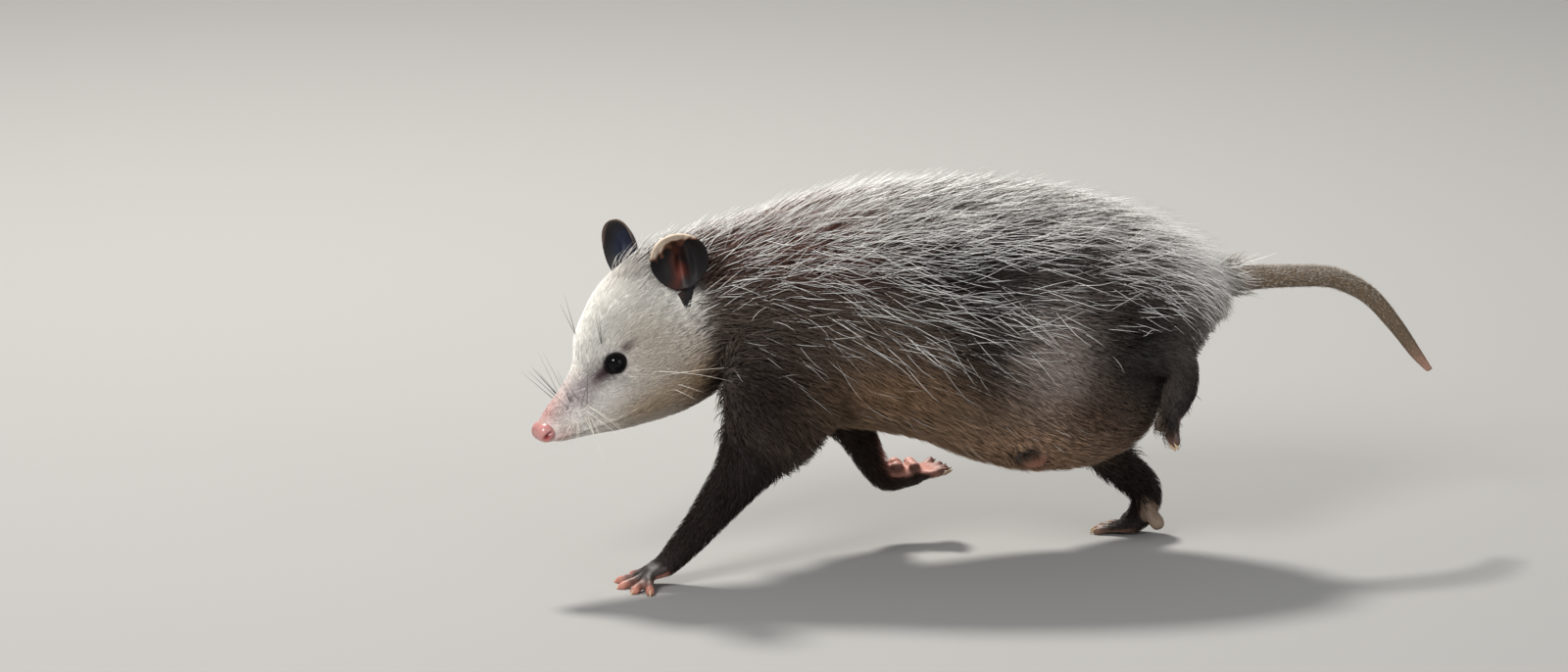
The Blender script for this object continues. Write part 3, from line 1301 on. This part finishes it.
def grow_coat(hide):
    """The six layers of the coat, from the underfur out and then face, legs and tail."""
    points, parts = hide.points, hide.parts
    thigh, pouch, shoulder, saddle, loin = (soft(folded(points), *at) for at in COAT_BOTH_SIDES.values())
    mouth, hock, knee, left_elbow, right_elbow = (soft(points, *at) for at in COAT_ONE_SIDE.values())
    head = folded(head_frame(points))
    before_ear, round_ear = (soft(head, *at) for at in COAT_BY_EAR.values())
    near_ear = step(np.maximum(round_ear, before_ear), 0.1, 0.6)
    hock = (1.3 * hock).clip(0, 1)
    elbow = left_elbow + right_elbow
    dark = np.maximum(saddle, loin)
    up = points[:, 2]
    top = np.clip(hide.normals[:, 2], 0, 1)
    under = np.clip(-hide.normals[:, 2], 0, 1)
    low = 1 - step(up, 80, 140)
    nape = 1 - step(points[:, 0], -110, -50)
    rump = step(points[:, 0], 120, 175)
    tail_end = step(points[:, 0], 146, 186)
    face = face_share(points, parts, 108)
    leg = np.maximum(leg_share(parts, points), step(hock, 0.75, 0.95))
    body = (1 - face) * (1 - leg) * (1 - parts["tail"][0] * step(points[:, 0], 187, 197)) * hide.cover
    shorter = (1 - 0.88 * hock - 0.55 * elbow - 0.5 * thigh - 0.3 * pouch).clip(0.12, 1)
    shorter *= (1 - 0.75 * mouth) * (1 - 0.8 * near_ear)
    shorter *= 1 - 0.75 * knee
    seat = 1 - 0.45 * tail_end

    # Underfur is dull and woolly, so it takes the light softly and keeps the dark of its roots.
    underfur = hair_material("underfur, fine and woolly", 0.9, 0.1, 0.4, 0.3, 1.0)
    grow_layer(
        hide,
        "underfur",
        slot="coat",
        made=underfur,
        count=28000,
        density=body,
        length=(15 + 3 * top - 3 * under) * shorter * seat,
        lift=(6.5 + 2 * top - 3 * under - 3 * thigh) * (1 - 0.85 * near_ear),
        width=0.78 - 0.3 * hock,
        stiffness=0.15,
        sway=0.26,
        stations=4,
        tuft=(9, 0.75),
        spread=0.14,
        tips=own_tips,
    )
    # The coat's own coloured guard hair is sleeker, so each lock shows a dull highlight along it.
    overhair = hair_material("overhair, sleek and coloured", 0.6, 0.2, 0.6, 0.2, 0.8)
    grow_layer(
        hide,
        "overhair",
        slot="coat",
        made=overhair,
        count=21000,
        density=body * (1 - 0.3 * under) * (1 - 0.5 * thigh) * (1 - near_ear),
        length=(26 - 6 * nape + 3 * top - 8 * low) * shorter * seat,
        lift=(8.5 + 3 * top - 3 * low - 2 * under) * (1 - 0.5 * thigh - 0.4 * hock) * (1 - 0.5 * tail_end),
        width=0.5,
        stiffness=0.25,
        sway=0.2,
        stations=4,
        tuft=(6, 0.6),
        spread=0.14,
        tips=own_tips,
    )
    # White guard hair is hollow and smooth, so it catches the light as bright threads over the dark coat.
    guard = hair_material("white guard hair, coarse and glossy", 0.32, 0.8, 0.85, 0.05, 0.3)
    frosting = 0.03 + 0.2 * step(up, 110, 145) + 0.7 * step(up, 145, 190)
    frosting = body * frosting * (1 - 0.7 * dark) * (1 - 0.8 * under) * (1 - near_ear)
    frosting = frosting * (0.8 + 0.4 * top + 1.1 * rump) * (1 - 0.55 * shoulder) * (1 - 0.9 * knee)
    grow_layer(
        hide,
        "guard_hair",
        slot="coat",
        made=guard,
        count=6400,
        density=frosting * (1 - 0.92 * thigh) * (1 - 0.9 * hock) * (1 - 0.85 * elbow).clip(0, 1),
        length=(38 - 10 * nape + 6 * top - 20 * low - 8 * shoulder) * shorter * (1 - 0.4 * tail_end),
        lift=(12 + 2 * rump - 4 * low) * (1 - 0.7 * tail_end) * (1 - 0.25 * step(up, 196, 206)),
        width=0.22 + 0.28 * step(up, 110, 160) + 0.04 * top,
        stiffness=0.3 + 0.35 * top,
        sway=0.36,
        stations=6,
        tuft=(4, 0.35),
        spread=0.1,
        tips=white_tips,
    )
    # Face fur is short and silky, and so dense that it looks like white velvet.
    velvet = hair_material("face fur, short and silky", 0.7, 0.2, 0.97, 0.3, 1.0)
    muzzle = 1 - step(head[:, 0], 20, 60)
    ruff = step(head[:, 0], 78, 110)
    grow_layer(
        hide,
        "face_fur",
        slot="face_fur",
        made=velvet,
        count=29000,
        density=face * hide.cover * (1 + 1.5 * muzzle),
        length=7.5 - 5.2 * muzzle + 9 * ruff * (1 - near_ear),
        lift=1.7 - 1.25 * muzzle + 3.0 * ruff * (1 - near_ear),
        width=0.38 - 0.12 * muzzle + 0.12 * ruff,
        stiffness=0.12 + 0.1 * ruff,
        sway=0.12,
        stations=3,
        tuft=(5, 0.2),
        spread=0.06,
        tips=even_tips,
    )
    # Leg fur is short, close and sleek, so the limb keeps its shape and a soft edge.
    sleek = hair_material("leg fur, short and sleek", 0.55, 0.2, 0.6, 0.3, 1.0)
    foot = sum(parts[name][0] * step(parts[name][1], 0.5, 0.9) for name in LEGS)
    grow_layer(
        hide,
        "leg_fur",
        slot="leg_fur",
        made=sleek,
        count=14000,
        density=leg * (1 - face) * (1 + foot) * hide.cover,
        length=(8.5 - 6 * foot) * (1 - 0.4 * hock),
        lift=(2.6 - 1.9 * foot) * (1 - 0.5 * hock),
        width=0.55 - 0.15 * foot,
        stiffness=0.15,
        sway=0.22,
        stations=3,
        tuft=(4, 0.4),
        spread=0.2,
        tips=own_tips,
    )
    # A thin down of pale bristles frosts the top of the tail's base.
    bristle = hair_material("tail bristles, short and pale", 0.5, 0.4, 0.9, 0.0, 0.3)
    weight, place, _ = parts["tail"]
    grow_layer(
        hide,
        "tail_down",
        slot="tail_skin",
        made=bristle,
        count=2600,
        density=weight * step(points[:, 0], 186, 196) * (1 - step(place, 0.35, 0.8)) * (0.25 + top),
        length=3.2,
        lift=0.9,
        width=0.26,
        stiffness=0.2,
        sway=0.3,
        stations=3,
        tuft=None,
        spread=0.15,
        tips=bristle_tips,
    )


def eye_of(side):
    """The centre of an eyeball and the way it looks."""
    fold = Vector((1, side, 1))
    return HEAD @ (Vector(EYE_PLACE) * fold), HEAD_TURN @ (EYE_FACING * fold)


def make_eye(side, name, node):
    """A glossy dark eyeball with a slight bulge at its clear front."""
    bm = bmesh.new()
    centre, facing = eye_of(side)
    turn = facing.to_track_quat("Z", "Y").to_matrix().to_4x4()
    bmesh.ops.create_uvsphere(bm, u_segments=40, v_segments=28, radius=EYE_RADIUS)
    for vert in bm.verts:
        vert.co *= 1 + 0.03 * max(vert.co.z / EYE_RADIUS, 0) ** 6
    bmesh.ops.transform(bm, matrix=Matrix.Translation(centre) @ turn, verts=bm.verts)
    eye = object_from(bm, name)
    eye.data.shade_smooth()
    # A wet eye is smooth as glass and nearly black, so it shows each light as a small sharp point.
    made = new_material("wet dark eyeball", 0.05, EYE_BLACK, ior=1.36, specular_ior_level=0.3)[0]
    return dress(eye, made, "eye", node)


def make_lids(side, name, made):
    """The rims of the lids: a soft ring over the eyeball, drawn out to its two corners."""
    centre, facing = eye_of(side)
    upward = HEAD_TURN @ Vector((0.05, 0, 1))
    upward = (upward - facing * upward.dot(facing)).normalized()
    level = upward.cross(facing)
    forward = HEAD_TURN @ Vector((-1, 0, 0))
    opening = math.radians(EYE_OPENING)
    rim = facing * math.cos(opening) + upward * math.sin(opening)
    tangent = -facing * math.sin(opening) + upward * math.cos(opening)
    bm = bmesh.new()
    bmesh.ops.create_circle(bm, segments=14, radius=1)
    for vert in bm.verts:
        vert.co = centre + rim * (EYE_RADIUS + 0.15 + 0.6 * vert.co.x) + tangent * vert.co.y
    ring = list(bm.verts) + list(bm.edges)
    bmesh.ops.spin(bm, geom=ring, cent=centre, axis=facing, angle=2 * math.pi, steps=56, use_merge=True)
    bmesh.ops.remove_doubles(bm, verts=bm.verts, dist=0.001)
    bmesh.ops.recalc_face_normals(bm, faces=bm.faces)
    for vert in bm.verts:
        out = vert.co - centre
        corner = (abs(out.dot(level)) / EYE_RADIUS) ** 5
        # The front corner is drawn out further, and down instead of up.
        pull, drop = (0.24, 0.9) if out.dot(forward) > 0 else (0.12, -0.5)
        vert.co += level * out.dot(level) * pull * corner - upward * (out.dot(upward) * 0.04 + drop * corner)
    lids = object_from(bm, name)
    lids.data.shade_smooth()
    paint_attribute(lids.data, "tint", filled(LID_BLACK, len(lids.data.vertices)))
    return dress(lids, made, "face_fur")


def make_ear(name, made):
    """A thin round cup with a rolled rim and folds inside, drawn in at its foot, on a short stalk."""
    side, foot, middle, turn_out, width, height, taper, fullness = EARS[name]
    foot, middle = (HEAD @ (point * Vector((1, side, 1))) for point in (foot, middle))
    stem = (middle - foot).normalized()
    angle = math.radians(turn_out)
    facing = HEAD_TURN @ Vector((-math.cos(angle), side * math.sin(angle), 0.12))
    facing = (facing - stem * facing.dot(stem)).normalized()
    across = stem.cross(facing).normalized()
    bm = bmesh.new()
    loops = []
    for k in range(1, EAR_RINGS + 1):
        circle = bmesh.ops.create_circle(bm, segments=64, radius=k / EAR_RINGS)["verts"]
        loops.append(edges_at(circle))
    for inner, outer in zip(loops, loops[1:]):
        bmesh.ops.bridge_loops(bm, edges=inner + outer)
    bmesh.ops.holes_fill(bm, edges=loops[0], sides=0)
    for vert in bm.verts:
        x, y = vert.co.x, vert.co.y
        rear = -x * side
        share = math.hypot(x, y)
        low = max(-y, 0)
        deep = EAR_DEPTH * (1 - share**2.2)
        for rise, at, lean, up, wide, tall in EAR_FOLDS.values():
            deep -= rise * math.exp(-(((rear - at + lean * y) / wide) ** 2 + ((y - up) / tall) ** 2))
        ribs = 0.25 * math.sin(11 * rear + 3 * y) * (1 - share)
        rolled_rim = 0.5 * max(share - 0.86, 0) / 0.14
        swell = (abs(x) ** fullness + abs(y) ** fullness) ** (-1 / fullness) * share
        out = x * swell * width * (1 - taper * low**1.8)
        high = y * swell * height * (1 + 0.3 * taper * low)
        vert.co = middle + across * out + stem * high - facing * (deep - ribs + rolled_rim)
    bmesh.ops.recalc_face_normals(bm, faces=bm.faces)
    bmesh.ops.solidify(bm, geom=bm.faces, thickness=EAR_WALL)
    bmesh.ops.recalc_face_normals(bm, faces=bm.faces)
    stalk = []
    for rise, wide, thick in EAR_STALK:
        point = foot + stem * rise - facing * (4.8 + rise * 0.30)
        stalk.append(even_ring(point, across * wide, facing * thick))
    ear = melted(joined([bm, loft(stalk, 24, 4)], f"ear_cup_{name}"), 0.5, 2)
    ear.data.shade_smooth()
    points = own_frame(vertex_array(ear.data)) - np.array(middle)
    rear = -side * (points @ np.array(across)) / width
    up = points @ np.array(stem) / height
    inside = step(vertex_array(ear.data, "normal") @ np.array(facing), -0.1, 0.4)
    tints = near_ear_tints if name == "left" else far_ear_tints
    paint_attribute(ear.data, "tint", tints(filled(EAR_BLACK, len(points)), rear, up, inside))
    return dress(ear, made, "ear_skin", f"ear_{name}")


def near_ear_tints(colours, rear, up, inside):
    """The near ear: rust in its folds, and a cream rim over tan along its upper edge."""
    wave = 0.05 * np.sin(up * 9) + 0.02 * np.sin(up * 17 + 1) + 0.04 * np.sin(rear * 8 + 3 * up)
    mottle = np.sin(9 * rear + 4 * up + 2 * np.sin(5 * up))
    mottle = mottle * np.sin(7 * up - 5 * rear + 2.5 * np.sin(6 * rear + 1))
    around = np.hypot(rear, up)
    fold = hump(rear - wave - 0.12 * up, -0.14, 0.20) * (1 - step(up, 0.3, 0.7))
    colours = blended(colours, EAR_FOLD, 0.9 * fold * inside)
    rust = hump(rear - wave, -0.02, 0.17) * hump(up, -0.62, 0.30)
    colours = blended(colours, EAR_RUST, rust * inside * (0.75 + 0.25 * mottle))
    crease = hump(rear - wave, -0.10, 0.07) * hump(up, 0.15, 0.35)
    colours = blended(colours, EAR_CREASE, (0.7 + 0.3 * mottle) * crease * inside)
    patch = up - 0.08 - 0.46 * (rear + 0.9) + 1.3 * wave + 0.14 * mottle
    rim = np.maximum(inside, step(around, 0.82, 0.95))
    colours = blended(colours, EAR_TAN, step(patch, -0.12, 0.16) * rim)
    return blended(colours, EAR_CREAM, step(patch, 0.04, 0.36) * step(around, 0.35, 0.65) * rim)


def far_ear_tints(colours, rear, up, inside):
    """The far ear: blue-black inside, with a thin paler rim."""
    around = np.hypot(rear, up)
    colours = blended(colours, FAR_EAR_BLUE, inside * (1 - step(around, 0.55, 0.9)))
    return blended(colours, FAR_EAR_RIM, 0.6 * step(around, 0.96, 1.0) * step(up, 0.0, 0.5))


def make_nose(made):
    """The bare pad: two lobes, a groove between them and comma-shaped nostrils."""
    lobes = []
    for centre, size in (
        ((6.0, -3.3, -5.5), (5.3, 4.3, 5.5)),
        ((6.0, 3.3, -5.5), (5.3, 4.3, 5.5)),
        ((6.6, 0, -5.8), (5.9, 6.4, 6.3)),
    ):
        bm = bmesh.new()
        place = HEAD @ Matrix.Translation(centre) @ Matrix.Diagonal((*size, 1))
        bmesh.ops.create_uvsphere(bm, u_segments=32, v_segments=20, radius=1, matrix=place)
        lobes.append(bm)
    nose = melted(joined(lobes, "nose_pad"), 0.4, 4)
    points = own_frame(vertex_array(nose.data))
    head = folded(head_frame(points))
    hole = sum(depth * soft(head, centre, reach) for depth, centre, reach in NOSTRIL)
    groove = hump(head[:, 1], 0, 0.55) * step(-head[:, 2], 2, 6)
    points -= vertex_array(nose.data, "normal") * (1.7 * hole.clip(0, 1) + 0.35 * groove)[:, None]
    place_vertices(nose.data, points)
    nose.data.update()
    nose.data.shade_smooth()
    colours = blended(filled(NOSE_PINK, len(points)), NOSTRIL_RED, (1.3 * hole).clip(0, 1))
    paint_attribute(nose.data, "tint", blended(colours, NOSE_GROOVE, 0.6 * groove))
    return dress(nose, made, "nose_skin", "nose")


def make_claws(made):
    """A curved claw at the end of every digit but the thumbs."""
    claws = []
    for leg in LEGS:
        for root, way, sole, side, length, half, curl in digit_frames(leg):
            base = root + way * (length * 0.86) + sole * (curl * 0.8 - half * 0.3)
            rings = []
            for share, wide in CLAW_WIDTHS:
                centre = base + way * CLAW_LENGTH * share + sole * (share**2) * CLAW_CURL
                rings.append(even_ring(centre, side * wide * 0.75, -sole * wide * 1.2))
            claws.append(loft(rings, 10, 2))
    piece = joined(claws, "claws")
    points = own_frame(vertex_array(piece.data))
    points[:, 2] = np.maximum(points[:, 2], STAND)
    place_vertices(piece.data, points)
    piece.data.shade_smooth()
    return dress(piece, made, "foot_skin")


def whisker(root, way, length, droop, thick):
    """One whisker: a long tapered hair that curves down under its own weight."""
    side = way.cross(Vector((0, 0, 1))).normalized()
    up = side.cross(way).normalized()
    rings = []
    for k in range(9):
        share = k / 8
        centre = root + way * length * share - Vector((0, 0, 1)) * droop * share**2
        half = thick * (1 - 0.9 * share) / 2
        rings.append(even_ring(centre, side * half, up * half))
    return loft(rings, 4, 0)


def make_whiskers(hide, dark, pale):
    strands = {True: [], False: []}
    for along, up, (back, out, rise), length, droop, count, is_dark in WHISKERS:
        for side in (-1, 1):
            for _ in range(count):
                spot = (along + DRAW.uniform(-3, 3), side * 60, up + DRAW.uniform(-2, 2))
                root = hide.tree.ray_cast(HEAD @ Vector(spot), HEAD_TURN @ Vector((0, -side, 0)))[0]
                if root is None:
                    continue
                stray = Vector(DRAW.normal(0, 0.1, 3))
                way = (HEAD_TURN @ (Vector((back, side * out, rise)) + stray)).normalized()
                size = length * DRAW.uniform(0.75, 1.15)
                strands[is_dark].append(whisker(root, way, size, droop, 0.4 if is_dark else 0.5))
    dress(joined(strands[True], "dark_whiskers"), dark, "face_fur")
    dress(joined(strands[False], "pale_whiskers"), pale, "face_fur")


def make_stage():
    bm = bmesh.new()
    bmesh.ops.create_grid(bm, x_segments=1, y_segments=1, size=12)
    mesh = bpy.data.meshes.new("floor")
    bm.to_mesh(mesh)
    bm.free()
    # The floor is matt, so it shows soft shadows and no reflection.
    mesh.materials.append(new_material("matt studio floor", 0.9, FLOOR_GREY)[0])
    linked("floor", mesh)


def add_light(name, place, size, power, colour):
    """A round soft light that shines on the middle of the animal."""
    data = bpy.data.lights.new(name, "AREA")
    data.shape = "DISK"
    data.size = size
    data.energy = power
    data.color = colour
    light = linked(name, data)
    light.location = place
    light.rotation_euler = (Vector((0, 0, 0.12)) - Vector(place)).to_track_quat("-Z", "Y").to_euler()


def make_lights():
    add_light("sun through a scrim", (-0.45, 1.3, 2.0), 0.4, 75, (1.0, 0.97, 0.92))
    add_light("key", (-1.5, -2.0, 1.7), 1.0, 62, (1.0, 0.99, 0.97))
    add_light("fill", (1.8, -2.2, 0.8), 2.0, 16, (0.93, 0.96, 1.0))
    world = bpy.data.worlds.new("studio")
    world.use_nodes = True
    background = world.node_tree.nodes["Background"]
    background.inputs["Color"].default_value = (0.88, 0.9, 0.93, 1)
    background.inputs["Strength"].default_value = 0.32
    bpy.context.scene.world = world
    bpy.context.scene.view_settings.view_transform = "Standard"


def make_camera():
    """The photo's view: 8 degrees round toward the head, 12 degrees up, at 0.55 mm to a pixel."""
    azimuth, elevation, distance = math.radians(-8), math.radians(12), 6000
    mm_per_pixel, width, height = 0.55, 1600, 686
    # The pixel at which the origin of the animal's frame shows.
    ground_pixel = (900.0, 570.5)
    level = math.cos(elevation)
    back = Vector((math.sin(azimuth) * level, -math.cos(azimuth) * level, math.sin(elevation)))
    right = Vector((math.cos(azimuth), math.sin(azimuth), 0))
    up = back.cross(right)
    target = -right * (ground_pixel[0] - width / 2) * mm_per_pixel
    target -= up * (height / 2 - ground_pixel[1]) * mm_per_pixel
    data = bpy.data.cameras.new("camera")
    data.sensor_width = 36
    data.lens = data.sensor_width * distance / (width * mm_per_pixel)
    data.clip_end = 100
    camera = linked("camera", data)
    turn = Matrix((right, up, back)).transposed()
    camera.matrix_world = Matrix.Translation(SHIFT + (target + back * distance) * MM) @ turn.to_4x4()
    bpy.context.scene.camera = camera


def main():
    skin = make_skin()
    hide = Hide(skin)
    finish_skin(skin, hide)
    grow_coat(hide)
    # The rims of the lids are nearly black and hardly shine, so they frame the wet eye.
    lid_skin = skin_material("dark skin of the lids", 0.8, 0.6, 0.2, specular_ior_level=0.1)
    for side, name in ((-1, "left"), (1, "right")):
        make_eye(side, f"eyeball_{name}", f"eye_{name}")
        make_lids(side, f"lids_{name}", lid_skin)
    # Ear leather is thin and hairless, with a faint grain and dull highlights along its folds.
    ear_skin = skin_material("ear leather, thin and bare", 0.5, 0.8, 0.2, specular_ior_level=0.25)
    for name in EARS:
        make_ear(name, ear_skin)
    # The nose is moist over a fine grain, so it shows small wet highlights.
    make_nose(skin_material("nose leather, moist", 0.28, 0.5, 0.12, coat_weight=0.5, coat_roughness=0.15))
    make_claws(horn_material("claw horn", CLAW_HORN))
    dark, pale = horn_material("dark whisker", DARK_WHISKER), horn_material("pale whisker", PALE_WHISKER)
    make_whiskers(hide, dark, pale)
    make_stage()
    make_lights()
    make_camera()


main()
